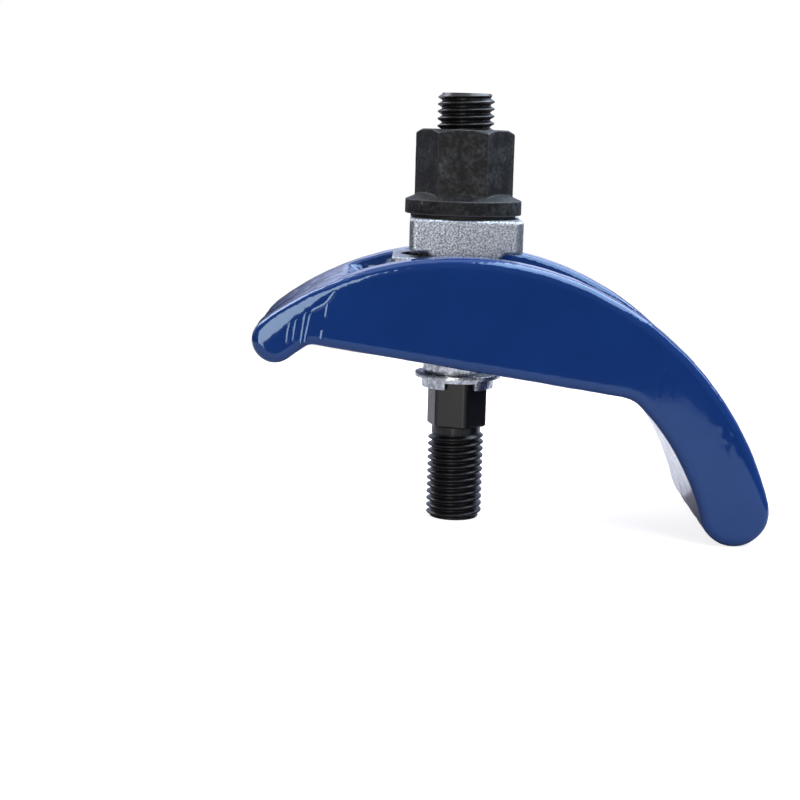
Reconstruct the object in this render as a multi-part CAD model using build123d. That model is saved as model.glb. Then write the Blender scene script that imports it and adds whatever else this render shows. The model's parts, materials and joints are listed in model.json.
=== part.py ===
from build123d import *
import os
from math import acos, asin, cos, degrees, radians, sin, sqrt, tan

# Mould clamp: an arched casting that bridges a workpiece and a packing piece, pulled down by a stud.
# The frame's origin is the centre of the stud's lower end, +Z runs up the stud, and +X points from
# the stud to the heel. The heel and the stud's end both stand on z = 0. Units are millimetres.

# Arched casting: radii and angles are about the arch centre, which lies on the stud's axis
outer_radius = 110.5
leg_thickness = 23.5
heel_angle = 66.5
crown_thickness = 38.5
soffit_slope = 8.2
body_width = 75.0
nose_radius = 7.8
relief_drop = 6.2
relief_angle = 45.0
relief_fillet = 4.0
throat_fillet = 12.0
body_edge_radius = 2.8

# Channel between the two ribs
channel_depth = 13.8
channel_floor_width = 40.0
channel_mouth_width = 48.0
channel_nose_margin = 2.7
channel_heel_angle = 65.0
channel_end_lean = 4.0
channel_corner_radius = 4.0
channel_floor_fillet = 2.0
rib_edge_radius = 1.8

# Slot through the casting, wider at the top because of the mould's draft
slot_nose_reach = 38.0
slot_heel_reach = 43.0
slot_end_radius = 17.0
slot_side_clearance = 0.5
slot_draft = 4.0
slot_edge_radius = 1.2

# Square plates under the nut
saddle_size = 38.0
saddle_thickness = 12.0
saddle_floor_gap = 0.3
saddle_hole_length = 32.0
saddle_hole_clearance = 0.75
saddle_offset = 5.5
saddle_corner_radius = 2.0
saddle_edge_radius = 0.6
block_size = 39.2
block_thickness = 11.6
block_offset = 1.0
block_hole_clearance = 1.5
block_corner_radius = 2.5
block_edge_radius = 1.0
foot_width = 26.4
foot_height = 1.6

# Double-ended stud
stud_diameter = 20.0
stud_length = 151.0
neck_length = 2.5
neck_depth = 1.25
hex_across_flats = 19.0
hex_length = 17.7
stud_end_chamfer = 1.5
hex_turn = -15.6

# Guide sleeve and retaining ring
sleeve_wall = 2.0
sleeve_bore_clearance = 0.5
sleeve_top_gap = 0.8
ring_flange_overhang = 2.3
ring_flange_thickness = 1.5
ring_bore_clearance = 0.1
ring_soffit_gap = 3.3
skirt_wall = 1.6
skirt_height = 1.2
claw_height = 2.4
claw_count = 3
claw_width_angle = 70.0
claw_turn = 62.8
hex_corner_clearance = 0.2

# Collar nut and its washer
washer_diameter = 37.0
washer_thickness = 1.2
washer_bore_clearance = 0.6
nut_height = 29.4
nut_across_flats = 30.0
nut_bore_clearance = 0.05
nut_chamfer_angle = 30.0
nut_countersink = 0.8
collar_diameter = 41.0
collar_rim_height = 5.0
collar_cone_height = 2.3
nut_turn = -3.6

# Lengths closer than this count as equal when edges are picked, and cutters stick out by the overrun
same_length = 0.01
cutter_overrun = 3.0

# Places worked out from the sizes above
stud_radius = stud_diameter / 2
floor_radius = outer_radius - channel_depth
inner_radius = outer_radius - leg_thickness
soffit_distance = outer_radius - crown_thickness
throat_angle = degrees(acos(soffit_distance / inner_radius))
heel_radius = leg_thickness / 2
leg_middle_radius = outer_radius - heel_radius
arch_centre_z = heel_radius - leg_middle_radius * cos(radians(heel_angle + soffit_slope))
saddle_bottom_z = arch_centre_z + floor_radius + saddle_floor_gap
saddle_top_z = saddle_bottom_z + saddle_thickness
block_bottom_z = saddle_top_z + foot_height
block_top_z = block_bottom_z + block_thickness
washer_top_z = block_top_z + washer_thickness
sleeve_inner_radius = stud_radius + sleeve_bore_clearance
sleeve_outer_radius = sleeve_inner_radius + sleeve_wall
slot_width = 2 * (sleeve_outer_radius + slot_side_clearance)
slot_top_growth = (floor_radius - soffit_distance) * tan(radians(slot_draft))
channel_nose_reach = slot_nose_reach + slot_top_growth + channel_nose_margin
channel_nose_angle = degrees(asin(channel_nose_reach / floor_radius)) + channel_end_lean
hex_corner_radius = hex_across_flats / sqrt(3)
skirt_inner_radius = hex_corner_radius + hex_corner_clearance
skirt_outer_radius = skirt_inner_radius + skirt_wall

# The ring's rim swings about the arch centre as the stud travels, and clears the underside all the way.
# The hexagon hangs from it, and the thread below takes up what is left of the stud.
flange_radius = slot_width / 2 + ring_flange_overhang
flange_top_z = arch_centre_z + sqrt((soffit_distance - ring_soffit_gap) ** 2 - flange_radius**2)
hex_top_z = flange_top_z - ring_flange_thickness
hex_bottom_z = hex_top_z - hex_length
lower_thread_length = hex_bottom_z - neck_length

# The casting's own side plane: u runs along the flat underside to the heel, v away from the centre
slope = radians(soffit_slope)
side_plane = Plane(
    origin=(0, 0, arch_centre_z), x_dir=(cos(slope), 0, -sin(slope)), z_dir=(0, -1, 0)
)


def polar(radius, angle):
    """Point of the side plane at an angle in degrees from v, positive to the heel."""
    return Vector(radius * sin(radians(angle)), radius * cos(radians(angle)))


def nearest_corner(face, point):
    return face.vertices().sort_by_distance((point.X, point.Y))[0]


def side_outline():
    """Side face of the casting."""
    lean = radians(relief_angle)
    nose_height = soffit_distance - relief_drop + nose_radius * cos(lean)
    nose_angle = degrees(acos(nose_height / (outer_radius - nose_radius)))
    nose_centre = polar(outer_radius - nose_radius, -nose_angle)
    nose_tip = nose_centre - Vector(nose_radius, 0)
    relief_start = nose_centre + Vector(sin(lean), -cos(lean)) * nose_radius
    relief_end = relief_start + Vector(relief_drop / tan(lean), relief_drop)
    throat = polar(inner_radius, throat_angle)
    heel_centre = polar(leg_middle_radius, heel_angle)
    heel_tip = heel_centre + polar(heel_radius, heel_angle + 90)
    nose_top = polar(outer_radius, -nose_angle)
    heel_outer = polar(outer_radius, heel_angle)
    heel_inner = polar(inner_radius, heel_angle)
    leg_middle = polar(inner_radius, (heel_angle + throat_angle) / 2)
    outline = make_face(
        ThreePointArc(nose_top, polar(outer_radius, 0), heel_outer)
        + ThreePointArc(heel_outer, heel_tip, heel_inner)
        + ThreePointArc(heel_inner, leg_middle, throat)
        + Line(throat, relief_end)
        + Line(relief_end, relief_start)
        + ThreePointArc(relief_start, nose_tip, nose_top)
    )
    outline = fillet(nearest_corner(outline, relief_end), relief_fillet)
    return fillet(nearest_corner(outline, throat), throat_fillet)


def keeps_radius(edge, radius):
    """True where the whole edge is as far from the arch centre as the radius."""
    points = [edge.position_at(share) for share in (0, 0.25, 0.5, 0.75, 1)]
    radii = [sqrt(point.X**2 + (point.Z - arch_centre_z) ** 2) for point in points]
    return all(abs(found - radius) < same_length for found in radii)


def spans_sides(edge, near, far):
    """True where the edge's two ends are that near to and that far from the middle plane."""
    low, high = sorted(abs(edge.position_at(share).Y) for share in (0, 1))
    return abs(low - near) < same_length and abs(high - far) < same_length


def stays_within(edge, reach):
    """True where both ends of the edge are nearer to the middle plane than the reach."""
    return all(abs(edge.position_at(share).Y) < reach for share in (0, 1))


def channel_cutter():
    """Trapezoid turned about the arch centre and ended by two leaning walls, corners rounded."""
    wall_lean = (channel_mouth_width - channel_floor_width) / 2 / channel_depth
    half_floor = channel_floor_width / 2
    half_top = channel_mouth_width / 2 + cutter_overrun * wall_lean
    top_radius = outer_radius + cutter_overrun
    section = make_face(
        Polyline(
            (floor_radius, -half_floor),
            (top_radius, -half_top),
            (top_radius, half_top),
            (floor_radius, half_floor),
            close=True,
        )
    )
    ring = Pos(0, 0, arch_centre_z) * revolve(section, Axis.Y, 360)
    walls = []
    for side, angle in ((-1, channel_nose_angle), (1, channel_heel_angle)):
        floor_point = polar(floor_radius, side * (angle - channel_end_lean))
        mouth_point = polar(outer_radius, side * angle)
        walls.append([floor_point, floor_point + (mouth_point - floor_point) * 2])
    wedge = make_face(
        Polyline(
            *walls[0],
            polar(2 * outer_radius, -channel_nose_angle / 2),
            polar(2 * outer_radius, channel_heel_angle / 2),
            *reversed(walls[1]),
            close=True,
        )
    )
    channel = ring & extrude(side_plane * wedge, body_width, both=True)
    corners = [edge for edge in channel.edges() if spans_sides(edge, half_floor, half_top)]
    channel = fillet(corners, channel_corner_radius)
    floor_rim = [edge for edge in channel.edges() if keeps_radius(edge, floor_radius)]
    return fillet(floor_rim, channel_floor_fillet)


def slot_cutter():
    """Long hole square to the underside, with flat-arc ends, wider towards the top."""
    half = slot_width / 2
    bulge = slot_end_radius - sqrt(slot_end_radius**2 - half**2)
    heel_corner = slot_heel_reach - bulge
    nose_corner = slot_nose_reach - bulge
    outline = make_face(
        Line((-nose_corner, -half), (heel_corner, -half))
        + ThreePointArc((heel_corner, -half), (slot_heel_reach, 0), (heel_corner, half))
        + Line((heel_corner, half), (-nose_corner, half))
        + ThreePointArc((-nose_corner, half), (-slot_nose_reach, 0), (-nose_corner, -half))
    )
    soffit_plane = Plane(
        origin=side_plane.from_local_coords((0, soffit_distance, 0)),
        x_dir=side_plane.x_dir,
        z_dir=side_plane.y_dir,
    )
    above = extrude(soffit_plane * outline, crown_thickness, taper=-slot_draft)
    below = extrude(soffit_plane * outline, -soffit_distance)
    return above + below


def clamp_body():
    arch = extrude(side_plane * side_outline(), body_width / 2, both=True)
    rims = [edge for edge in arch.edges() if spans_sides(edge, body_width / 2, body_width / 2)]
    arch = fillet(rims, body_edge_radius) - channel_cutter()
    mouth_reach = channel_mouth_width / 2 + same_length
    mouth = [
        edge for edge in arch.edges() if keeps_radius(edge, outer_radius) and stays_within(edge, mouth_reach)
    ]
    arch = fillet(mouth, rib_edge_radius) - slot_cutter()
    flat_reach = channel_floor_width / 2 - channel_floor_fillet
    slot_rim = [
        edge for edge in arch.edges() if keeps_radius(edge, floor_radius) and stays_within(edge, flat_reach)
    ]
    return fillet(slot_rim, slot_edge_radius)


def square_plate(size, bottom, thickness, corner_radius):
    return Pos(0, 0, bottom) * extrude(RectangleRounded(size, size, corner_radius), thickness)


def saddle_block():
    """Plate with a hole that is long towards nose and heel, so that the stud can stand off centre."""
    plate = square_plate(saddle_size, saddle_bottom_z, saddle_thickness, saddle_corner_radius)
    plate = fillet(plate.faces().sort_by(Axis.Z)[-1].edges(), saddle_edge_radius)
    plate = Pos(-saddle_offset, 0, 0) * plate
    hole = SlotOverall(saddle_hole_length, 2 * (stud_radius + saddle_hole_clearance))
    return plate - Pos(-saddle_offset, 0, saddle_bottom_z) * extrude(hole, saddle_thickness)


def upper_block():
    """Block with a low foot across the middle of its underside, so that it bears near the stud."""
    block = square_plate(block_size, block_bottom_z, block_thickness, block_corner_radius)
    block = fillet(block.faces().sort_by(Axis.Z)[-1].edges(), block_edge_radius)
    block = fillet(block.faces().sort_by(Axis.Z)[0].edges(), block_edge_radius)
    half_foot = foot_width / 2
    foot = make_face(
        Polyline(
            (-half_foot + foot_height, saddle_top_z),
            (half_foot - foot_height, saddle_top_z),
            (half_foot, block_bottom_z),
            (half_foot, block_bottom_z + block_edge_radius),
            (-half_foot, block_bottom_z + block_edge_radius),
            (-half_foot, block_bottom_z),
            close=True,
        )
    )
    block += extrude(Plane.XZ * foot, block_size / 2, both=True)
    hole_radius = stud_radius + block_hole_clearance
    hole = Pos(0, 0, saddle_top_z) * extrude(Circle(hole_radius), block_top_z - saddle_top_z)
    return Pos(block_offset, 0, 0) * (block - hole)


def stud():
    """Bar with a hexagon between two plain lengths that stand for its threads."""
    bar = Cylinder(stud_radius, stud_length, align=(Align.CENTER, Align.CENTER, Align.MIN))
    bar = chamfer(bar.edges().filter_by(GeomType.CIRCLE), stud_end_chamfer)
    waste = Circle(stud_radius) - Circle(stud_radius - neck_depth)
    bar -= Pos(0, 0, lower_thread_length) * extrude(waste, hex_top_z - lower_thread_length)
    grip = RegularPolygon(hex_across_flats / 2, 6, major_radius=False, rotation=hex_turn)
    return bar + Pos(0, 0, hex_bottom_z) * extrude(grip, hex_length)


def sleeve():
    length = saddle_bottom_z - sleeve_top_gap - flange_top_z
    wall = Circle(sleeve_outer_radius) - Circle(sleeve_inner_radius)
    return Pos(0, 0, flange_top_z) * extrude(wall, length)


def retaining_ring():
    """Flat flange on the hexagon's top, with a short skirt and claws that grip the hexagon."""
    flange = Circle(flange_radius) - Circle(stud_radius + ring_bore_clearance)
    flange = Pos(0, 0, hex_top_z) * extrude(flange, ring_flange_thickness)
    skirt = Circle(skirt_outer_radius) - Circle(skirt_inner_radius)
    ring = flange + Pos(0, 0, hex_top_z - skirt_height) * extrude(skirt, skirt_height)
    drop = skirt_height + claw_height
    half_width = skirt_outer_radius * tan(radians(claw_width_angle / 2))
    sector = make_face(
        Polyline(
            (0, 0),
            (skirt_outer_radius, -half_width),
            (2 * skirt_outer_radius, 0),
            (skirt_outer_radius, half_width),
            close=True,
        )
    )
    for index in range(claw_count):
        turn = Rot(0, 0, claw_turn - 90 + index * 360 / claw_count)
        claw = skirt & (turn * sector)
        ring += Pos(0, 0, hex_top_z - drop) * extrude(claw, drop)
    return ring


def nut_washer():
    disc = Circle(washer_diameter / 2) - Circle(stud_radius + washer_bore_clearance)
    return Pos(0, 0, block_top_z) * extrude(disc, washer_thickness)


def nut():
    """Tall hexagon with its top corners turned off, standing on a round collar with a sloping top."""
    corner_radius = nut_across_flats / sqrt(3)
    flat_radius = nut_across_flats / 2
    hexagon = RegularPolygon(flat_radius, 6, major_radius=False, rotation=nut_turn)
    drop = (corner_radius - flat_radius) * tan(radians(nut_chamfer_angle))
    turned = make_face(
        Polyline(
            (0, 0),
            (corner_radius, 0),
            (corner_radius, nut_height - drop),
            (flat_radius, nut_height),
            (0, nut_height),
            close=True,
        )
    )
    rim_radius = collar_diameter / 2
    collar = make_face(
        Polyline(
            (0, 0),
            (rim_radius, 0),
            (rim_radius, collar_rim_height),
            (flat_radius, collar_rim_height + collar_cone_height),
            (0, collar_rim_height + collar_cone_height),
            close=True,
        )
    )
    solid = extrude(hexagon, nut_height) & revolve(Plane.XZ * turned, Axis.Z, 360)
    solid += revolve(Plane.XZ * collar, Axis.Z, 360)
    bore_radius = stud_radius + nut_bore_clearance
    solid -= extrude(Circle(bore_radius), nut_height)
    rims = [
        edge for edge in solid.edges().filter_by(GeomType.CIRCLE) if abs(edge.radius - bore_radius) < same_length
    ]
    return Pos(0, 0, washer_top_z) * chamfer(rims, nut_countersink)


parts = {
    "clamp_body": clamp_body(),
    "saddle_block": saddle_block(),
    "upper_block": upper_block(),
    "stud": stud(),
    "sleeve": sleeve(),
    "retaining_ring": retaining_ring(),
    "nut_washer": nut_washer(),
    "nut": nut(),
}

os.makedirs("parts", exist_ok=True)
for name, shape in parts.items():
    export_step(shape, f"parts/{name}.step")
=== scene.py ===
import json
from math import atan2, cos, degrees, exp, hypot, pi, radians, sin, sqrt, tan

import bmesh
import bpy
from mathutils import Matrix, Vector, noise


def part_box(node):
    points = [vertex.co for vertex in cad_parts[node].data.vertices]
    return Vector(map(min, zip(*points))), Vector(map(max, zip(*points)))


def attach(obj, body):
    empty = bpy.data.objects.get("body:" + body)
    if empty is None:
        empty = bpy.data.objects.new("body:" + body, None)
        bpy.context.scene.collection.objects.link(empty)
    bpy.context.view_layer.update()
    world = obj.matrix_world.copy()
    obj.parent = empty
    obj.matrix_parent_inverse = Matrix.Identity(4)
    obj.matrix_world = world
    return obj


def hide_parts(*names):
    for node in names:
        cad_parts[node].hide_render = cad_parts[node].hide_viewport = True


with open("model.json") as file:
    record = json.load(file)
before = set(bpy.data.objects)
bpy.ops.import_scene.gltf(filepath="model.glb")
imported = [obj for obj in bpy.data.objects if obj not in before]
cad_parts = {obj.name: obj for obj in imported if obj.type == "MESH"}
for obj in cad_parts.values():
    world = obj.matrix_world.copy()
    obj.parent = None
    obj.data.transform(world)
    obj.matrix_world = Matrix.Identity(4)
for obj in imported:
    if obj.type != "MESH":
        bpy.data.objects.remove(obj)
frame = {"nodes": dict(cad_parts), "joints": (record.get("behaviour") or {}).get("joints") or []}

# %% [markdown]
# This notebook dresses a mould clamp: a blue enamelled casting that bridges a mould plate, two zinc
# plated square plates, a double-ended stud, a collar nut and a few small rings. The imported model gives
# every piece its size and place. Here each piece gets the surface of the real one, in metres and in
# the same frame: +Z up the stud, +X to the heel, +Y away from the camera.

MM = 0.001
scene = bpy.context.scene
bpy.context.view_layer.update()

# %% [markdown]
# Paint and metal colours are chosen as the sRGB hex values that a colour picker shows. A shader works
# in linear light, so one function turns a hex value into linear red, green, blue and alpha.

# %% Hex colours to linear light
def linear(hex_colour):
    channels = [int(hex_colour[start:start + 2], 16) / 255 for start in (1, 3, 5)]
    curve = [c / 12.92 if c <= 0.04045 else ((c + 0.055) / 1.055) ** 2.4 for c in channels]
    return (*curve, 1.0)


print("mid grey in linear light", round(linear("#808080")[0], 3))

# %% [markdown]
# Every material is a small graph of nodes. One helper adds a node, sets its properties and fills its
# inputs, where an input is either a plain value or the output of another node. A pattern's size is
# given in millimetres, so a second helper turns a size into the scale that a texture node takes. The
# pattern is laid out in the piece's own coordinates, so it moves with the piece.

# %% Helpers for node graphs
def add_node(tree, kind, inputs=None, **settings):
    node = tree.nodes.new(kind)
    for name, value in settings.items():
        setattr(node, name, value)
    for name, value in (inputs or {}).items():
        if isinstance(value, bpy.types.NodeSocket):
            tree.links.new(value, node.inputs[name])
        else:
            node.inputs[name].default_value = value
    return node


def scale_for(size_mm):
    return 1 / (size_mm * MM)


def new_material(name):
    material = bpy.data.materials.new(name)
    material.use_nodes = True
    tree = material.node_tree
    tree.nodes.clear()
    output = add_node(tree, "ShaderNodeOutputMaterial")
    shader = add_node(tree, "ShaderNodeBsdfPrincipled")
    tree.links.new(shader.outputs["BSDF"], output.inputs["Surface"])
    place = add_node(tree, "ShaderNodeTexCoord").outputs["Object"]
    return material, tree, shader, place


def blend_colours(tree, factor, first, second):
    mix = add_node(tree, "ShaderNodeMix", data_type="RGBA")
    mix.inputs[6].default_value = linear(first)
    mix.inputs[7].default_value = linear(second)
    tree.links.new(factor, mix.inputs[0])
    return mix.outputs[2]


print("a pattern of 2 mm has the scale", round(scale_for(2)))

# %% [markdown]
# The arch was cast in sand and sprayed with glossy blue enamel. Enamel is a binder full of pigment, so
# its colour is deep, and its shine is a thin sharp reflection that lies over it. The index of 1.65 is
# above the 1.5 of a plain binder, and a light blue tint cools the reflections of white lamps. Both were
# set by comparing renders with the photograph. On the wide sides the paint has levelled out to a faint
# orange peel. On rounded edges it is thin, and the sand's grain comes through. An edge is told from a
# side by the surface's normal, whose Y part is 1 on a side, 0 on the top, and between the two on the
# rounding.

# %% Blue enamel
PATCH_MM = 22
PEEL_MM = 1.6
PEEL_HEIGHT_MM = 0.05
PEEL_ON_FLATS = 0.14


def on_roundings(tree):
    """1 where the surface turns from side to top, PEEL_ON_FLATS on the flat sides and tops."""
    normal = add_node(tree, "ShaderNodeTexCoord").outputs["Normal"]
    sideways = add_node(tree, "ShaderNodeSeparateXYZ", {"Vector": normal}).outputs["Y"]
    square = add_node(tree, "ShaderNodeMath", {0: sideways, 1: sideways}, operation="MULTIPLY").outputs[0]
    rest = add_node(tree, "ShaderNodeMath", {0: 1.0, 1: square}, operation="SUBTRACT").outputs[0]
    hill = add_node(tree, "ShaderNodeMath", {0: square, 1: rest}, operation="MULTIPLY").outputs[0]
    return add_node(
        tree, "ShaderNodeMapRange",
        {"Value": hill, "From Min": 0.0, "From Max": 0.25, "To Min": PEEL_ON_FLATS, "To Max": 1.0},
    ).outputs["Result"]


def blue_enamel():
    material, tree, shader, place = new_material("blue_enamel_over_sand_casting")
    patches = add_node(
        tree, "ShaderNodeTexNoise", {"Vector": place, "Scale": scale_for(PATCH_MM), "Detail": 4.0}
    ).outputs["Fac"]
    shader.inputs["Roughness"].default_value = 0.07
    shader.inputs["IOR"].default_value = 1.65
    shader.inputs["Specular Tint"].default_value = linear("#BCD8F2")
    tree.links.new(blend_colours(tree, patches, "#0E295D", "#13336F"), shader.inputs["Base Color"])
    peel = add_node(
        tree, "ShaderNodeTexNoise", {"Vector": place, "Scale": scale_for(PEEL_MM), "Detail": 2.0}
    ).outputs["Fac"]
    height = add_node(
        tree, "ShaderNodeMath", {0: peel, 1: on_roundings(tree)}, operation="MULTIPLY"
    ).outputs["Value"]
    peel_bump = add_node(
        tree, "ShaderNodeBump", {"Height": height, "Strength": 1.0, "Distance": PEEL_HEIGHT_MM * MM}
    ).outputs["Normal"]
    tree.links.new(peel_bump, shader.inputs["Normal"])
    return material


enamel = blue_enamel()
print("made", enamel.name)

# %% [markdown]
# The plates, the sleeve and the retaining ring are steel with bright electroplated zinc, a metal with a
# cool, slightly blue white. The plates were sand blasted before plating, so their faces sparkle with a
# grain of about half a millimetre. It is drawn at 0.65 mm, a little coarser, because a pixel of the
# picture covers 0.36 mm at the stud. Each grain is a pit that is darker and rougher than its rim.

# %% Bright zinc
GRAIN_HEIGHT_MM = 0.3
GRAIN_ROUGHNESS = 0.1


def bright_zinc(name, grain_mm, grain_strength, roughness, dark, light):
    material, tree, shader, place = new_material(name)
    shader.inputs["Metallic"].default_value = 1.0
    grain = add_node(
        tree, "ShaderNodeTexNoise", {"Vector": place, "Scale": scale_for(grain_mm), "Detail": 3.0}
    ).outputs["Fac"]
    spread = add_node(
        tree, "ShaderNodeMapRange",
        {"Value": grain, "From Min": 0.34, "From Max": 0.66, "To Min": 0.0, "To Max": 1.0},
    ).outputs["Result"]
    tree.links.new(blend_colours(tree, spread, dark, light), shader.inputs["Base Color"])
    rough = add_node(
        tree, "ShaderNodeMapRange",
        {"Value": grain, "From Min": 0.3, "From Max": 0.7,
         "To Min": roughness + GRAIN_ROUGHNESS, "To Max": roughness - GRAIN_ROUGHNESS},
    ).outputs["Result"]
    tree.links.new(rough, shader.inputs["Roughness"])
    bump = add_node(
        tree, "ShaderNodeBump",
        {"Height": grain, "Strength": grain_strength, "Distance": GRAIN_HEIGHT_MM * MM},
    ).outputs["Normal"]
    tree.links.new(bump, shader.inputs["Normal"])
    return material


blasted_zinc = bright_zinc("zinc_plate_over_blasted_steel", 0.65, 0.45, 0.48, "#74787F", "#C6CBD4")
rolled_zinc = bright_zinc("zinc_plate_over_rolled_steel", 1.6, 0.12, 0.3, "#8E9298", "#CBCED3")
print("made", blasted_zinc.name, rolled_zinc.name)

# %% [markdown]
# The stud, the nut and its washer are hardened steel with black oxide, dipped in oil. The oxide is a dark
# grey layer with a weak gloss. The nut was forged, so its flats are mottled with shallow marks, which come
# in groups: a fine noise is multiplied by a coarse one. Its convex edges are drawn a lighter grey in the
# colour. Pointiness is high where a surface is convex, so it finds the edges.

# %% Black oxide
MARK_HEIGHT_MM = 0.12
MARK_GROUP_MM = 6
MARK_ROUGHNESS = 0.04
MARK_LIGHTNESS = 0.45


def black_oxide(name, mark_mm, mark_strength, roughness, shine, dark, light):
    material, tree, shader, place = new_material(name)
    shader.inputs["Specular IOR Level"].default_value = shine
    marks = add_node(
        tree, "ShaderNodeTexNoise", {"Vector": place, "Scale": scale_for(mark_mm), "Detail": 5.0}
    ).outputs["Fac"]
    groups = add_node(
        tree, "ShaderNodeTexNoise", {"Vector": place, "Scale": scale_for(MARK_GROUP_MM), "Detail": 2.0}
    ).outputs["Fac"]
    worn = add_node(tree, "ShaderNodeMath", {0: marks, 1: groups}, operation="MULTIPLY").outputs["Value"]
    marked = add_node(
        tree, "ShaderNodeMapRange",
        {"Value": worn, "From Min": 0.2, "From Max": 0.5, "To Min": 0.0, "To Max": MARK_LIGHTNESS},
    ).outputs["Result"]
    # Convex edges are drawn a lighter grey in the base colour, found by Pointiness.
    edges = add_node(tree, "ShaderNodeNewGeometry").outputs["Pointiness"]
    lighter_edges = add_node(
        tree, "ShaderNodeMapRange",
        {"Value": edges, "From Min": 0.515, "From Max": 0.57, "To Min": 0.0, "To Max": 1.0},
    ).outputs["Result"]
    lighter_marks_and_edges = add_node(tree, "ShaderNodeMath", {0: marked, 1: lighter_edges}, operation="MAXIMUM").outputs["Value"]
    tree.links.new(blend_colours(tree, lighter_marks_and_edges, dark, light), shader.inputs["Base Color"])
    rough = add_node(
        tree, "ShaderNodeMapRange",
        {"Value": marks, "From Min": 0.3, "From Max": 0.7,
         "To Min": roughness + MARK_ROUGHNESS, "To Max": roughness - MARK_ROUGHNESS},
    ).outputs["Result"]
    tree.links.new(rough, shader.inputs["Roughness"])
    bump = add_node(
        tree, "ShaderNodeBump",
        {"Height": worn, "Strength": mark_strength, "Distance": MARK_HEIGHT_MM * MM},
    ).outputs["Normal"]
    tree.links.new(bump, shader.inputs["Normal"])
    return material


forged_black = black_oxide(
    "black_oxide_over_forged_steel", 1.3, 0.9, 0.55, 0.2, "#0F0F10", "#565658"
)
turned_black = black_oxide(
    "black_oxide_over_cut_thread", 1.2, 0.1, 0.33, 0.4, "#0A0A0B", "#161617"
)
print("made", forged_black.name, turned_black.name)

# %% [markdown]
# A painted casting has no sharp edge and no true plane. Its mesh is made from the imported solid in
# three moves: an even net of small squares is laid over it, every point is pulled back on to the
# solid, and then each point is shifted along its normal by the casting's own waviness. The even net
# is what lets waves, grain and paint runs be real shape instead of a trick of the shader.

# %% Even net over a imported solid
def evaluated_mesh(piece):
    graph = bpy.context.evaluated_depsgraph_get()
    mesh = bpy.data.meshes.new_from_object(piece.evaluated_get(graph))
    piece.modifiers.clear()
    piece.data = mesh
    return mesh


def even_net(node_name, piece_name, step_mm, smoothing):
    source = frame["nodes"][node_name]
    piece = bpy.data.objects.new(piece_name, source.data.copy())
    scene.collection.objects.link(piece)
    piece.data.materials.clear()
    remesh = piece.modifiers.new("net", "REMESH")
    remesh.mode = "VOXEL"
    remesh.voxel_size = step_mm * MM
    wrap = piece.modifiers.new("wrap", "SHRINKWRAP")
    wrap.target = source
    wrap.wrap_method = "NEAREST_SURFACEPOINT"
    smooth = piece.modifiers.new("smooth", "SMOOTH")
    smooth.factor = 0.5
    smooth.iterations = smoothing
    mesh = evaluated_mesh(piece)
    mesh.shade_smooth()
    return piece


print("nets can be laid over", len(frame["nodes"]), "packed nodes")

# %% [markdown]
# Waviness is a sum of smooth noises of several sizes. Each one has a size, a height on flat faces, an
# extra height where the surface is rounded, and a seed that keeps it apart from the others. The noise
# is read at a fixed place of the piece, so it is the same in every run.

# %% Waves along the normals
def wave(place, size_mm, seed):
    return noise.noise(place / (size_mm * MM) + Vector((seed, 0, 0)))


def waves_mm(place, waves, rounding=0.0):
    return sum(
        (height + extra * rounding) * wave(place, size_mm, seed)
        for size_mm, height, extra, seed in waves
    )


def shift_along_normals(mesh, shift_at):
    normals = [vertex.normal.copy() for vertex in mesh.vertices]
    for vertex, normal in zip(mesh.vertices, normals):
        vertex.co += normal * shift_at(vertex.co, normal)
    mesh.update()


print("a wave of 5 mm at the origin is", round(wave(Vector(), 5, 0.5), 3))

# %% [markdown]
# Some of the casting's marks follow its outline, so that outline is worked out first: an arc about the
# arch's centre, which the stud's travel turns about, and a smaller arc round the nose. One function
# tells how far a point of the side lies inside the outline, another its angle from the stud.

# %% Outline of the arch
NOSE_RADIUS_MM = 7.8

arch_low, arch_high = [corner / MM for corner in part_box("clamp_body")]
arch_centre_z = next(joint for joint in frame["joints"] if joint["name"] == "stud_travel")["pos_m"][2] / MM
outer_radius = arch_high.z - arch_centre_z
nose_x = arch_low.x + NOSE_RADIUS_MM
nose_z = arch_centre_z + sqrt((outer_radius - NOSE_RADIUS_MM) ** 2 - nose_x**2)
print("arch centre z", round(arch_centre_z, 2), "outer radius", round(outer_radius, 2), "mm")
print("nose centre", round(nose_x, 2), round(nose_z, 2), "mm")


def inside_outline(place):
    """How far in from the outer outline a point of the side lies, in millimetres."""
    x, height = place.x / MM, place.z / MM - arch_centre_z
    if x * (nose_z - arch_centre_z) < nose_x * height:
        return NOSE_RADIUS_MM - hypot(x - nose_x, height + arch_centre_z - nose_z)
    return outer_radius - hypot(x, height)


def degrees_to_heel(place):
    """Angle of a point from the stud about the arch's centre, positive towards the heel."""
    return degrees(atan2(place.x / MM, place.z / MM - arch_centre_z))


def rising(value, low, high):
    """0 below low, 1 above high, a straight rise between."""
    return min(1.0, max(0.0, (value - low) / (high - low)))


nose_centre = Vector((nose_x, 0, nose_z)) * MM
print("the nose's centre is", round(-degrees_to_heel(nose_centre), 1), "degrees from the stud")

# %% [markdown]
# Towards the nose the side's upper edge was dressed with a grinder before painting. That is made as a
# nearly flat chamfer: 8 degrees steep, about 5 mm wide, with a ragged lower border. It begins 26 degrees
# from the stud and fades out level with the nose's centre. It leans away from the side, so it mirrors
# the lamp on the left and shows as one pale patch. Where the solid's own rounding is deeper than the
# chamfer, the rounding stays.

# %% Dressed band at the nose
EDGE_ROUNDING_MM = 2.8
BAND_START_DEG, BAND_FULL_DEG = 26.4, 27.6
BAND_WIDTH_MM = 5.3
BAND_TAPER_MM, BAND_TAPER_DEG = 1.6, 9.0
BAND_SLOPE = 0.14
BAND_SOFT_MM = 0.4
BAND_RAGGED_WAVES_MM = ((2.5, 0.5, 0, 4.4),)
BAND_END_LOW_MM, BAND_END_HIGH_MM = -0.5, 3


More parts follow.
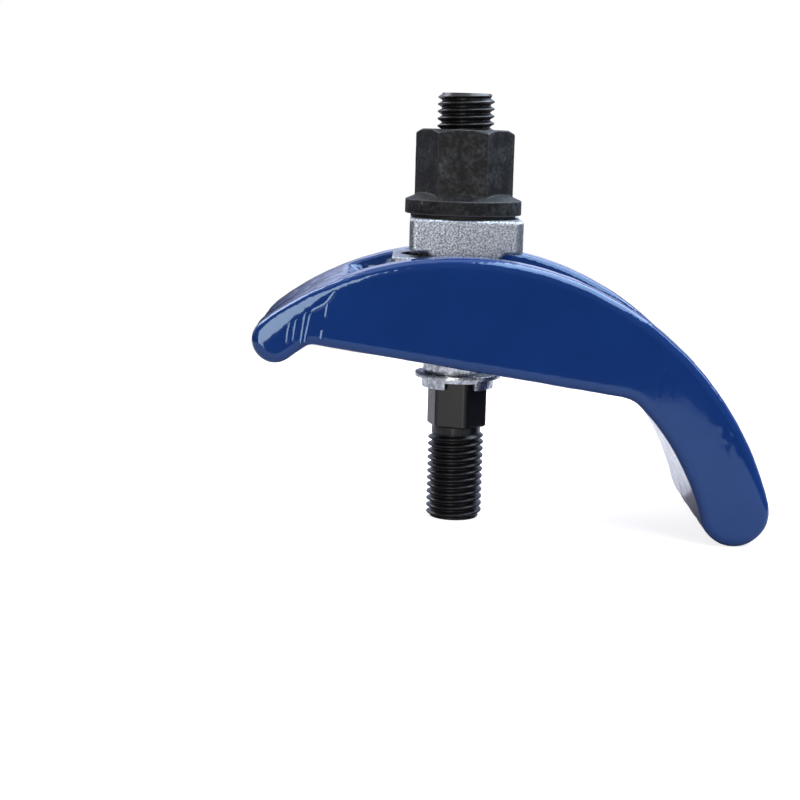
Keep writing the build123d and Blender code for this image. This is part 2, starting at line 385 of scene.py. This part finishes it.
def dressed_depth_mm(place):
    """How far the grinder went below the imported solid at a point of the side."""
    to_nose = -degrees_to_heel(place)
    above_nose = place.z / MM - nose_z
    share = rising(to_nose, BAND_START_DEG, BAND_FULL_DEG)
    share *= rising(above_nose, BAND_END_LOW_MM, BAND_END_HIGH_MM)
    if share == 0:
        return 0.0
    widening = rising(to_nose, BAND_FULL_DEG, BAND_FULL_DEG + BAND_TAPER_DEG)
    width = BAND_WIDTH_MM - BAND_TAPER_MM * (1 - widening)
    inside = max(0.0, inside_outline(place))
    reach = width + waves_mm(place, BAND_RAGGED_WAVES_MM) - inside
    chamfer = BAND_SLOPE * share * (reach + hypot(reach, BAND_SOFT_MM)) / 2
    from_edge = max(0.0, EDGE_ROUNDING_MM - inside)
    rounding = EDGE_ROUNDING_MM - sqrt(EDGE_ROUNDING_MM**2 - from_edge**2)
    return max(0.0, chamfer - rounding)


print("the band is", BAND_WIDTH_MM, "mm wide and", round(degrees(atan2(BAND_SLOPE, 1))), "degrees steep")

# %% [markdown]
# Two more marks belong to the paint. Along the side's upper edge, from the nose to a little right of
# the stud, it is a little rough. Above the heel's outer edge, on the near side, it is thick and
# wrinkled, so the border that is mirrored there is ragged.

# %% Rough and sagged paint
ROUGH_WAVES_MM = ((1.7, 0.09, 0, 5.5),)
ROUGH_FADE_IN_DEG = (-34, -28)
ROUGH_FADE_OUT_DEG = (6, 24)
ROUGH_FADE_OUT_MM = (3, 5)
SAG_WAVES_MM = ((2.6, 0.14, 0, 2.7), (1.6, 0.05, 0, 8.1))
SAG_X_MM, SAG_Z_MM, SAG_REACH_MM = 94.0, 41.0, 7.5


def rough_edge_mm(place):
    angle = degrees_to_heel(place)
    share = rising(angle, *ROUGH_FADE_IN_DEG) * (1 - rising(angle, *ROUGH_FADE_OUT_DEG))
    return share * (1 - rising(inside_outline(place), *ROUGH_FADE_OUT_MM)) * waves_mm(place, ROUGH_WAVES_MM)


def sagged_paint_mm(place):
    away = hypot(place.x / MM - SAG_X_MM, place.z / MM - SAG_Z_MM) / SAG_REACH_MM
    return exp(-away * away) * waves_mm(place, SAG_WAVES_MM)


sag_middle = Vector((SAG_X_MM, 0, SAG_Z_MM)) * MM
print("the paint sags", round(inside_outline(sag_middle), 1), "mm inside the outline")

# %% [markdown]
# Every point of the net is now shifted along its normal. Sand casting leaves long soft waves, and the
# thin paint over the roundings lets shorter ones through. The flat sides are left almost still,
# because a glossy side shows a wave of a few hundredths of a millimetre as a bent reflection. In the
# channel the floor is rougher than any outside face, and the walls lie between it and the flat sides.

# %% Casting
CAST_STEP_MM = 0.9
CAST_WAVES_MM = ((14, 0.02, 0.12, 3.1), (6, 0.0, 0.12, 7.7), (2.2, 0.003, 0.03, 1.9))
CHANNEL_REACH_MM = 24.5
CHANNEL_FLOOR, CHANNEL_WALL = 1.7, 0.5
SIDE_NORMAL = 0.3


def casting_shift(place, normal):
    sideways = abs(normal.y)
    rounding = 1 - sideways**4
    if abs(place.y) < CHANNEL_REACH_MM * MM:
        rounding = CHANNEL_FLOOR + (CHANNEL_WALL - CHANNEL_FLOOR) * sideways
    shift = waves_mm(place, CAST_WAVES_MM, rounding)
    if sideways > SIDE_NORMAL:
        shift += rough_edge_mm(place) - dressed_depth_mm(place) * sideways
    if normal.y < -SIDE_NORMAL:
        shift += sagged_paint_mm(place)
    return shift * MM


casting = even_net("clamp_body", "casting", CAST_STEP_MM, 2)
shift_along_normals(casting.data, casting_shift)
casting.data.materials.append(enamel)
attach(casting, "clamp")
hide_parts("clamp_body")
print("casting faces", len(casting.data.polygons))

# %% [markdown]
# Where the paint was sprayed too thick it ran down the side near the nose and above the heel, and
# dried as low ridges. They are narrower than the casting's net can show, so the runs are strips of
# their own, laid on the side. A run's section is a low tent: two flat flanks, 0.6 mm wide each, that
# meet in a crest less than 0.1 mm high. One flank mirrors the lamp on the left. A rounded ridge would
# mirror it in a narrower line.

# %% Places and widths of the paint runs
RUN_STEPS = 28
RUN_SWELL = 0.15
RUN_TIP = 0.02
RUN_START_TAPER, RUN_END_TAPER = 6, 9
NEAR_SIDE_RUNS_MM = (
    (1.0, (-57.6, 73.4), (-58.2, 70.2), (-58.7, 65.8)),
    (1.0, (-55.5, 74.4), (-56.0, 70.8), (-56.6, 66.6)),
    (1.0, (-52.4, 76.8), (-53.2, 71.5), (-54.0, 65.6)),
    (1.0, (-50.7, 76.6), (-51.8, 70.6), (-52.7, 66.0)),
    (1.0, (-50.9, 76.9), (-46.4, 79.2), (-44.9, 80.7), (-42.6, 84.0)),
    (1.0, (-44.9, 80.7), (-45.3, 78.0), (-45.8, 75.0)),
    (0.8, (-46.6, 71.0), (-47.1, 67.6)),
    (0.3, (68.6, 61.0), (66.9, 50.0)),
    (0.2, (71.6, 58.6), (71.2, 50.2)),
)


def run_line(points):
    """Evenly spaced places along a run, from its straight pieces."""
    lengths = [hypot(b[0] - a[0], b[1] - a[1]) for a, b in zip(points, points[1:])]
    for step in range(RUN_STEPS + 1):
        left = sum(lengths) * step / RUN_STEPS
        piece = 0
        while piece < len(lengths) - 1 and left > lengths[piece]:
            left -= lengths[piece]
            piece += 1
        yield Vector(points[piece]).lerp(Vector(points[piece + 1]), left / lengths[piece])


def run_width(place, share):
    """Share of the full width: thin at the start, full on the way, blunt at the drop's end."""
    swell = 1 + RUN_SWELL * noise.noise(Vector((place.x, place.y / 2, 9.1)))
    start = (share + RUN_TIP) * RUN_START_TAPER
    end = (1 + RUN_TIP - share) * RUN_END_TAPER
    return min(1.0, start, end) ** 0.5 * swell


print("paint runs", len(NEAR_SIDE_RUNS_MM))

# %% [markdown]
# A run becomes a closed strip: the tent section is set across the line at each step, its foot a little
# below the surface so that no gap shows, and neighbouring sections are joined. Where the side was
# dressed, the run follows the chamfer.

# %% Paint runs
RUN_SECTION_MM = (
    (-0.8, -0.03), (-0.7, 0.0), (-0.1, 0.08), (0, 0.085), (0.1, 0.08), (0.7, 0.0), (0.8, -0.03), (0, -0.1),
)


def add_run(shape, height, points):
    """Adds one closed strip. A height of 1 gives the section's own height."""
    line = list(run_line(points))
    rows = []
    for step, place in enumerate(line):
        width = run_width(place, step / RUN_STEPS)
        ahead = line[min(step + 1, RUN_STEPS)] - line[max(step - 1, 0)]
        across = Vector((ahead.y, -ahead.x)).normalized()
        side_y = arch_low.y + dressed_depth_mm(Vector((place.x, 0, place.y)) * MM)
        row = []
        for sideways, out in RUN_SECTION_MM:
            x, z = place + across * sideways * width
            raised = out * width * height if out > 0 else out
            row.append(shape.verts.new(Vector((x, side_y - raised, z)) * MM))
        rows.append(row)
    for lower, upper in zip(rows, rows[1:]):
        for side, after in zip(range(len(lower)), (*range(1, len(lower)), 0)):
            shape.faces.new((lower[side], upper[side], upper[after], lower[after]))
    shape.faces.new(rows[0])
    shape.faces.new(reversed(rows[-1]))


def paint_runs():
    shape = bmesh.new()
    for height, *points in NEAR_SIDE_RUNS_MM:
        add_run(shape, height, points)
    bmesh.ops.recalc_face_normals(shape, faces=shape.faces)
    mesh = bpy.data.meshes.new("paint_runs")
    shape.to_mesh(mesh)
    shape.free()
    mesh.shade_smooth()
    mesh.materials.append(enamel)
    runs = bpy.data.objects.new("paint_runs", mesh)
    scene.collection.objects.link(runs)
    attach(runs, "clamp")
    return runs


print("paint run faces", len(paint_runs().data.polygons))

# %% [markdown]
# The square plates keep the crisp outline of the solid, and get a finer net, because their blasted
# faces carry a grain that shows at the edges too.

# %% Square plates
PLATE_STEP_MM = 0.55
PLATE_WAVES_MM = ((3.0, 0.03, 0, 5.3), (1.1, 0.03, 0, 2.4))


def plate_shift(place, normal):
    return waves_mm(place, PLATE_WAVES_MM) * MM


for node_name, piece_name, body in (
    ("upper_block", "blasted_block", "block"),
    ("saddle_block", "blasted_saddle", "saddle"),
):
    plate = even_net(node_name, piece_name, PLATE_STEP_MM, 1)
    shift_along_normals(plate.data, plate_shift)
    plate.data.materials.append(blasted_zinc)
    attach(plate, body)
    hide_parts(node_name)
    print(piece_name, "faces", len(plate.data.polygons))

# %% [markdown]
# The nut was forged hot between dies, so its edges are soft and its flats are slightly uneven. It gets
# the same kind of net, with marks of 1 to 4 mm pressed in by a few hundredths of a millimetre. A bevel
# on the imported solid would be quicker, but it leaves the flats without points that could be shifted.

# %% Forged nut
NUT_STEP_MM = 0.36
NUT_WAVES_MM = ((4.0, 0.04, 0, 6.2), (1.5, 0.02, 0, 8.8))


def nut_shift(place, normal):
    return waves_mm(place, NUT_WAVES_MM) * MM


forged_nut = even_net("nut", "forged_nut", NUT_STEP_MM, 1)
shift_along_normals(forged_nut.data, nut_shift)
forged_nut.data.materials.append(forged_black)
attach(forged_nut, "nut")
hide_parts("nut")
print("forged nut faces", len(forged_nut.data.polygons))

# %% [markdown]
# Pieces that were cut or stamped have flat faces that meet at fine rounded edges, and it is these
# edges that catch the light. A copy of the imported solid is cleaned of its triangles, and a bevel
# rounds each edge by a few tenths of a millimetre.

# %% Pieces with rounded edges
MERGE_MM = 0.001
FLAT_ANGLE = radians(0.4)
EDGE_ANGLE = radians(25)


def rounded_copy(node_name, piece_name, edge_mm):
    source = frame["nodes"][node_name]
    mesh = source.data.copy()
    piece = bpy.data.objects.new(piece_name, mesh)
    scene.collection.objects.link(piece)
    mesh.materials.clear()
    shape = bmesh.new()
    shape.from_mesh(mesh)
    bmesh.ops.remove_doubles(shape, verts=shape.verts, dist=MERGE_MM * MM)
    bmesh.ops.dissolve_limit(shape, angle_limit=FLAT_ANGLE, verts=shape.verts, edges=shape.edges)
    shape.to_mesh(mesh)
    shape.free()
    bevel = piece.modifiers.new("edges", "BEVEL")
    bevel.width = edge_mm * MM
    bevel.segments = 3
    bevel.limit_method = "ANGLE"
    bevel.angle_limit = EDGE_ANGLE
    bevel.use_clamp_overlap = True
    bevel.harden_normals = True
    mesh.shade_smooth()
    evaluated_mesh(piece)
    return piece


for node_name, piece_name, body, material, slot, edge_mm in (
    ("nut_washer", "pressed_washer", "washer", forged_black, "black_oxide_steel", 0.3),
    ("retaining_ring", "stamped_ring", "stud", rolled_zinc, "zinc_plated_steel", 0.25),
    ("sleeve", "turned_sleeve", "stud", rolled_zinc, "zinc_plated_steel", 0.3),
):
    piece = rounded_copy(node_name, piece_name, edge_mm)
    piece.data.materials.append(material)
    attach(piece, body)
    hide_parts(node_name)
    print(piece_name, "faces", len(piece.data.polygons))

# %% [markdown]
# The stud carries real M20 threads: 2.5 mm from crest to crest, with flanks at 30 degrees to the
# horizontal. A real thread has no knife edge, so crest and root are small arcs, and the crest's arc
# catches the light on every turn. One profile serves the whole thread: arc, straight flank, arc.

# %% Thread profile
PITCH_MM = 2.5
STUD_RADIUS_MM = 10.0
FLANK = radians(60)
CREST_ROUNDING_MM = 0.35
ROOT_ROUNDING_MM = 0.36
CREST_HALF_MM = CREST_ROUNDING_MM * sin(FLANK)
ROOT_HALF_MM = ROOT_ROUNDING_MM * sin(FLANK)
FLANK_MM = PITCH_MM / 2 - CREST_HALF_MM - ROOT_HALF_MM
CREST_DROP_MM = CREST_ROUNDING_MM * (1 - cos(FLANK))
ROOT_DROP_MM = ROOT_ROUNDING_MM * (1 - cos(FLANK))
THREAD_DEPTH_MM = CREST_DROP_MM + FLANK_MM * tan(FLANK) + ROOT_DROP_MM


def thread_radius_mm(climb):
    """Radius at a height above a crest's middle: round crest, straight flank, round root."""
    away = abs((climb + PITCH_MM / 2) % PITCH_MM - PITCH_MM / 2)
    from_root = PITCH_MM / 2 - away
    if away < CREST_HALF_MM:
        depth = CREST_ROUNDING_MM - sqrt(CREST_ROUNDING_MM**2 - away**2)
    elif from_root < ROOT_HALF_MM:
        depth = THREAD_DEPTH_MM - ROOT_ROUNDING_MM + sqrt(ROOT_ROUNDING_MM**2 - from_root**2)
    else:
        depth = CREST_DROP_MM + (away - CREST_HALF_MM) * tan(FLANK)
    return STUD_RADIUS_MM - depth


print("thread", round(THREAD_DEPTH_MM, 2), "mm deep")

# %% [markdown]
# A screw thread is one profile that climbs as it turns, so the mesh is a stack of rings in which each
# column is a little higher than the one before. A turn has ten rings, close together on the arcs and
# far apart on the flanks. Rings that would leave the threaded stretch are held at its ends, which
# gives the thread its natural run-in.

# %% Rings of a thread
COLUMNS = 120
HALF_TURN_RINGS_MM = (
    0, CREST_HALF_MM / 2, CREST_HALF_MM, PITCH_MM / 2 - ROOT_HALF_MM, PITCH_MM / 2 - ROOT_HALF_MM / 2,
)
TURN_RINGS_MM = (
    *HALF_TURN_RINGS_MM, PITCH_MM / 2, *(PITCH_MM - away for away in reversed(HALF_TURN_RINGS_MM[1:])),
)


def thread_rings(low_mm, high_mm, limit_at):
    """Rings of (height, radius), one pair for each column, for a thread between two heights."""
    rings = []
    turns = int((high_mm - low_mm) / PITCH_MM) + 2
    for turn in range(turns):
        for above_crest in TURN_RINGS_MM:
            ring = []
            for column in range(COLUMNS + 1):
                rise = PITCH_MM * column / COLUMNS
                height = low_mm + (turn - 1) * PITCH_MM + above_crest + rise
                held = min(high_mm, max(low_mm, height))
                radius = min(thread_radius_mm(held - low_mm - rise), limit_at(held))
                ring.append((held, radius))
            rings.append(ring)
    return rings


print("rings in a turn", len(TURN_RINGS_MM))

# %% [markdown]
# The stud's middle is a hexagon of 19 mm across flats for a spanner, with a turned neck under it. The
# whole stud is one closed mesh: rings for the lower end, its thread, the neck, the hexagon, the plain
# shank and the upper thread follow each other from bottom to top, and share the same columns. The
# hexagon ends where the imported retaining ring's flange lies on it.

# %% Heights and radii of the stud
FLANGE_MM = 1.5
HEX_LENGTH_MM = 17.7
NECK_LENGTH_MM = 2.5
NECK_RADIUS_MM = 8.75
NECK_RUN_OUT = 1.4
END_RADIUS_MM = 8.5
HEX_FLAT_MM = 9.5
HEX_CORNER_MM = 10.85
HEX_TURN = radians(-15.6)
HEX_CHAMFER_MM = 0.6
SHANK_LENGTH_MM = 6
SHANK_CHAMFER_MM = 1
HEX_TOP_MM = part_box("retaining_ring")[1].z / MM - FLANGE_MM
NECK_TOP_MM = HEX_TOP_MM - HEX_LENGTH_MM
LOWER_THREAD_TOP_MM = NECK_TOP_MM - NECK_LENGTH_MM
SHANK_TOP_MM = HEX_TOP_MM + SHANK_LENGTH_MM
UPPER_THREAD_LOW_MM = SHANK_TOP_MM + SHANK_CHAMFER_MM
stud_low, stud_high = [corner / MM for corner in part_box("stud")]
print("stud from", round(stud_low.z, 2), "to", round(stud_high.z, 2), "mm")
print("hexagon from", round(NECK_TOP_MM, 2), "to", round(HEX_TOP_MM, 2), "mm")


def column_angle(column):
    return HEX_TURN + 2 * pi * column / COLUMNS


def plain_ring(height_mm, radius_mm):
    return [(height_mm, radius_mm)] * (COLUMNS + 1)


def hex_ring(height_mm, inset_mm):
    ring = []
    for column in range(COLUMNS + 1):
        from_flat = (column_angle(column) - HEX_TURN) % (pi / 3) - pi / 6
        radius = min(HEX_FLAT_MM / cos(from_flat), HEX_CORNER_MM)
        ring.append((height_mm, radius - inset_mm))
    return ring


def lower_limit_mm(height):
    return min(END_RADIUS_MM + height, NECK_RADIUS_MM + NECK_RUN_OUT * (LOWER_THREAD_TOP_MM - height))


def upper_limit_mm(height):
    return END_RADIUS_MM + min(height - UPPER_THREAD_LOW_MM, stud_high.z - height)


# %% [markdown]
# Rings become a mesh when each is joined to the next. The last column lies on the first of the turn
# above, and held rings lie on each other, so points in one place are merged at the end. Faces that
# meet at less than 40 degrees are shaded as one round surface, and sharper edges stay crisp.

# %% Stud
STUD_MERGE_MM = 0.002
CRISP_ANGLE = radians(40)


def stud_rings():
    return [
        plain_ring(0, 0),
        plain_ring(0, END_RADIUS_MM),
        *thread_rings(0, LOWER_THREAD_TOP_MM, lower_limit_mm),
        plain_ring(LOWER_THREAD_TOP_MM, NECK_RADIUS_MM),
        plain_ring(NECK_TOP_MM, NECK_RADIUS_MM),
        hex_ring(NECK_TOP_MM, HEX_CHAMFER_MM),
        hex_ring(NECK_TOP_MM + HEX_CHAMFER_MM, 0),
        hex_ring(HEX_TOP_MM - HEX_CHAMFER_MM, 0),
        hex_ring(HEX_TOP_MM, HEX_CHAMFER_MM),
        plain_ring(HEX_TOP_MM, STUD_RADIUS_MM),
        plain_ring(SHANK_TOP_MM, STUD_RADIUS_MM),
        plain_ring(UPPER_THREAD_LOW_MM, END_RADIUS_MM),
        *thread_rings(UPPER_THREAD_LOW_MM, stud_high.z, upper_limit_mm),
        plain_ring(stud_high.z, END_RADIUS_MM),
        plain_ring(stud_high.z, 0),
    ]


def mesh_from_rings(name, rings):
    shape = bmesh.new()
    rows = []
    for ring in rings:
        row = []
        for column, (height, radius) in enumerate(ring):
            angle = column_angle(column)
            place = Vector((radius * cos(angle), radius * sin(angle), height)) * MM
            row.append(shape.verts.new(place))
        rows.append(row)
    for lower, upper in zip(rows, rows[1:]):
        for left in range(COLUMNS):
            shape.faces.new((lower[left], lower[left + 1], upper[left + 1], upper[left]))
    bmesh.ops.remove_doubles(shape, verts=shape.verts, dist=STUD_MERGE_MM * MM)
    open_edges = [edge for edge in shape.edges if len(edge.link_faces) != 2]
    print(name, "faces", len(shape.faces), "open edges", len(open_edges))
    mesh = bpy.data.meshes.new(name)
    shape.to_mesh(mesh)
    shape.free()
    mesh.shade_smooth()
    mesh.set_sharp_from_angle(angle=CRISP_ANGLE)
    return mesh


threaded_stud = bpy.data.objects.new("threaded_stud", mesh_from_rings("threaded_stud", stud_rings()))
scene.collection.objects.link(threaded_stud)
threaded_stud.data.materials.append(turned_black)
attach(threaded_stud, "stud")
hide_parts("stud")

# %% [markdown]
# The clamp stands on a white sheet. To the camera the sheet glows a little, so it is as white as the
# background and only the clamp's shadow is left on it. To everything else it is plain matt paper. The
# glossy side mirrors the sheet low down, and the darker studio beyond its border higher up. That gives
# the heel its lighter blue, and the border of that patch is the sheet's own front corner. Level with
# the clamp the sheet is wider, because the heel's outer edge mirrors it further to the right.

# %% White sheet
SHEET_GLOW_SEEN = 0.8
SHEET_OUTLINE = (
    (-0.36, -0.352), (0.128, -0.352), (0.128, -0.2), (0.26, -0.17), (0.26, 0.42), (-0.36, 0.42),
)


def sheet_material():
    material = bpy.data.materials.new("white_sheet")
    material.use_nodes = True
    tree = material.node_tree
    tree.nodes.clear()
    seen = add_node(tree, "ShaderNodeLightPath").outputs["Is Camera Ray"]
    glow = add_node(
        tree, "ShaderNodeMath", {0: seen, 1: SHEET_GLOW_SEEN}, operation="MULTIPLY"
    ).outputs["Value"]
    white = add_node(tree, "ShaderNodeEmission", {"Color": linear("#FFFFFF"), "Strength": glow})
    matt = add_node(tree, "ShaderNodeBsdfDiffuse", {"Color": linear("#B4AEAF")})
    both = add_node(tree, "ShaderNodeAddShader")
    tree.links.new(white.outputs["Emission"], both.inputs[0])
    tree.links.new(matt.outputs["BSDF"], both.inputs[1])
    output = add_node(tree, "ShaderNodeOutputMaterial")
    tree.links.new(both.outputs["Shader"], output.inputs["Surface"])
    return material


sheet_mesh = bpy.data.meshes.new("white_sheet")
sheet_mesh.from_pydata([(x, y, 0) for x, y in SHEET_OUTLINE], [], [range(len(SHEET_OUTLINE))])
sheet_mesh.materials.append(sheet_material())
sheet = bpy.data.objects.new("white_sheet", sheet_mesh)
scene.collection.objects.link(sheet)
print("sheet corners", len(SHEET_OUTLINE))

# %% [markdown]
# The room is the world's background. To the camera it is white. To shiny paint and metal it is a dim
# studio with a bright back wall and a bright ceiling, dark below the table's edge and darker at the
# left near the horizon. The direction in the world decides, so a reflection stays where it belongs when
# the clamp is seen from another side. First comes the brightness: a ramp from the front to the back,
# then what is taken away below and at the left, and at last the ceiling.

# %% Brightness of the room
ROOM_LEVELS = ((0.0, 0.2), (0.5, 0.08), (0.62, 0.5), (0.8, 0.9), (1.0, 1.2))
BACK_LEFT_LEVEL = 0.12
UNDER_TABLE_LEVEL = 0.05
CEILING_LEVEL = 1.6


def back_wall_level(tree, towards):
    """Level by the direction's Y part, from ROOM_LEVELS: 0 is the front of the room, 1 the back."""
    back = add_node(
        tree, "ShaderNodeMapRange",
        {"Value": towards["Y"], "From Min": -1.0, "From Max": 1.0, "To Min": 0.0, "To Max": 1.0},
    ).outputs["Result"]
    ramp = add_node(tree, "ShaderNodeValToRGB", {"Fac": back})
    stops = ramp.color_ramp.elements
    while len(stops) < len(ROOM_LEVELS):
        stops.new(0.5)
    for stop, (position, level) in zip(stops, ROOM_LEVELS):
        stop.position = position
        stop.color = (level, level, level, 1)
    return ramp.outputs["Color"]


def lit_share(tree, towards):
    """1 everywhere but at the left near the horizon, where it is BACK_LEFT_LEVEL."""
    right = add_node(
        tree, "ShaderNodeMapRange",
        {"Value": towards["X"], "From Min": -0.2, "From Max": 0.05,
         "To Min": BACK_LEFT_LEVEL, "To Max": 1.0},
    ).outputs["Result"]
    above = add_node(
        tree, "ShaderNodeMapRange",
        {"Value": towards["Z"], "From Min": 0.04, "From Max": 0.08, "To Min": 0.0, "To Max": 1.0},
    ).outputs["Result"]
    return add_node(tree, "ShaderNodeMath", {0: right, 1: above}, operation="MAXIMUM").outputs["Value"]


def room_level(tree, towards):
    over_table = add_node(
        tree, "ShaderNodeMapRange",
        {"Value": towards["Z"], "From Min": -0.05, "From Max": 0.01, "To Min": 0.0, "To Max": 1.0},
        interpolation_type="SMOOTHSTEP",
    ).outputs["Result"]
    level = add_node(
        tree, "ShaderNodeMath", {0: over_table, 1: back_wall_level(tree, towards)}, operation="MULTIPLY"
    ).outputs["Value"]
    level = add_node(
        tree, "ShaderNodeMath", {0: level, 1: lit_share(tree, towards)}, operation="MULTIPLY"
    ).outputs["Value"]
    ceiling = add_node(
        tree, "ShaderNodeMapRange",
        {"Value": towards["Z"], "From Min": 0.8, "From Max": 0.95,
         "To Min": UNDER_TABLE_LEVEL, "To Max": CEILING_LEVEL},
    ).outputs["Result"]
    return add_node(tree, "ShaderNodeMath", {0: level, 1: ceiling}, operation="MAXIMUM").outputs["Value"]


print("room levels from front to back", [level for _, level in ROOM_LEVELS])

# %% [markdown]
# The back wall is bluish where it isn't looked at directly: it is what the arch's top mirrors at a low
# angle, and that reflection is cool. The view transform is Standard, so a colour shows as it is
# written.

# %% Room
BACK_COLOUR = "#D0DAFB"


def room_colour(tree, towards, seen):
    mirrored = add_node(tree, "ShaderNodeMath", {0: 1.0, 1: seen}, operation="SUBTRACT").outputs["Value"]
    back = add_node(
        tree, "ShaderNodeMapRange",
        {"Value": towards["Y"], "From Min": 0.1, "From Max": 0.5, "To Min": 0.0, "To Max": 1.0},
    ).outputs["Result"]
    blueness = add_node(
        tree, "ShaderNodeMath", {0: back, 1: mirrored}, operation="MULTIPLY"
    ).outputs["Value"]
    return blend_colours(tree, blueness, "#FFFFFF", BACK_COLOUR)


def room():
    world = bpy.data.worlds.new("room")
    world.use_nodes = True
    tree = world.node_tree
    tree.nodes.clear()
    direction = add_node(tree, "ShaderNodeTexCoord").outputs["Generated"]
    towards = add_node(tree, "ShaderNodeSeparateXYZ", {"Vector": direction}).outputs
    seen = add_node(tree, "ShaderNodeLightPath").outputs["Is Camera Ray"]
    strength = add_node(
        tree, "ShaderNodeMath", {0: room_level(tree, towards), 1: seen}, operation="MAXIMUM"
    ).outputs["Value"]
    sky = add_node(
        tree, "ShaderNodeBackground", {"Color": room_colour(tree, towards, seen), "Strength": strength}
    )
    output = add_node(tree, "ShaderNodeOutputWorld")
    tree.links.new(sky.outputs["Background"], output.inputs["Surface"])
    return world


scene.world = room()
scene.view_settings.view_transform = "Standard"
print("world nodes", len(scene.world.node_tree.nodes))

# %% [markdown]
# Four soft boxes light the clamp, and each is placed for what mirrors it. A tall one in front and to
# the left lights the band at the nose and the paint runs, and draws an upright streak down the threads.
# A long strip overhead at the right is mirrored by the tops and edges of the ribs where the arch falls
# away to the heel, and a small one below it carries that line of light down the heel's edge. A strip
# behind at the left draws the bright line along the top edge at the nose. The lamps at the right are
# a little cooler than the others.

# %% Lamps
AIM = Vector((0.02, 0.0, 0.07))


def soft_box(name, azimuth_deg, elevation_deg, distance, width, height, radiance, colour):
    """Rectangular lamp aimed at the clamp. Azimuth 0 is the camera's side, positive to the right."""
    across, up = radians(azimuth_deg), radians(elevation_deg)
    towards = Vector((sin(across) * cos(up), -cos(across) * cos(up), sin(up)))
    lamp = bpy.data.lights.new(name, "AREA")
    lamp.shape = "RECTANGLE"
    lamp.size = width
    lamp.size_y = height
    lamp.energy = radiance * pi * width * height
    lamp.color = linear(colour)[:3]
    box = bpy.data.objects.new(name, lamp)
    box.location = AIM + towards * distance
    box.rotation_euler = towards.to_track_quat("Z", "Y").to_euler()
    box.visible_camera = False
    scene.collection.objects.link(box)
    print(name, round(lamp.energy, 2), "W")
    return box


soft_box("left_soft_box", -19.5, 9, 0.9, 0.24, 0.6, 7.2, "#FCF7F0")
soft_box("right_strip", 84, 63, 0.87, 1.7, 0.6, 7.0, "#E2F2FF")
soft_box("low_right_strip", 98, 33, 0.9, 0.22, 0.36, 6.0, "#E2F2FF")
soft_box("back_left_strip", -123, 40, 0.9, 0.5, 0.4, 6.0, "#FFFFFF")

# %% [markdown]
# The camera stands where the photographer stood: 600 mm in front of the stud and 141 mm above the
# table, looking 9.4 degrees down, with a lens of about 76 mm. Its place is worked out from the pixel
# in which the stud's lower end is seen. The photographed stud hangs a millimetre lower than the packed
# one, which stands at the height that it has when the nut is tight.

# %% Camera
PICTURE_PX = 800
FOCAL_PX = 1690
STUD_END_PX = (453.0, 517.5)
STUD_END_PLACE = Vector((0, 0, -1 * MM))
DISTANCE = 0.6
PITCH_DOWN, YAW, ROLL = radians(9.4), radians(0.5), radians(1.55)
SENSOR_MM = 36


def place_camera():
    forward = Vector((-sin(YAW) * cos(PITCH_DOWN), cos(YAW) * cos(PITCH_DOWN), -sin(PITCH_DOWN)))
    level = Vector((cos(YAW), sin(YAW), 0))
    upright = level.cross(forward)
    right = level * cos(ROLL) + upright * sin(ROLL)
    up = upright * cos(ROLL) - level * sin(ROLL)
    across = (STUD_END_PX[0] - PICTURE_PX / 2) / FOCAL_PX
    above = (PICTURE_PX / 2 - STUD_END_PX[1]) / FOCAL_PX
    ray = forward + right * across + up * above
    lens = bpy.data.cameras.new("camera")
    lens.sensor_width = SENSOR_MM
    lens.lens = FOCAL_PX / PICTURE_PX * SENSOR_MM
    camera = bpy.data.objects.new("camera", lens)
    turn = Matrix((right, up, -forward)).transposed()
    camera.matrix_world = Matrix.Translation(STUD_END_PLACE - ray * (DISTANCE / ray.y)) @ turn.to_4x4()
    scene.collection.objects.link(camera)
    scene.camera = camera
    return camera


print("camera at", [round(value, 4) for value in place_camera().matrix_world.translation])
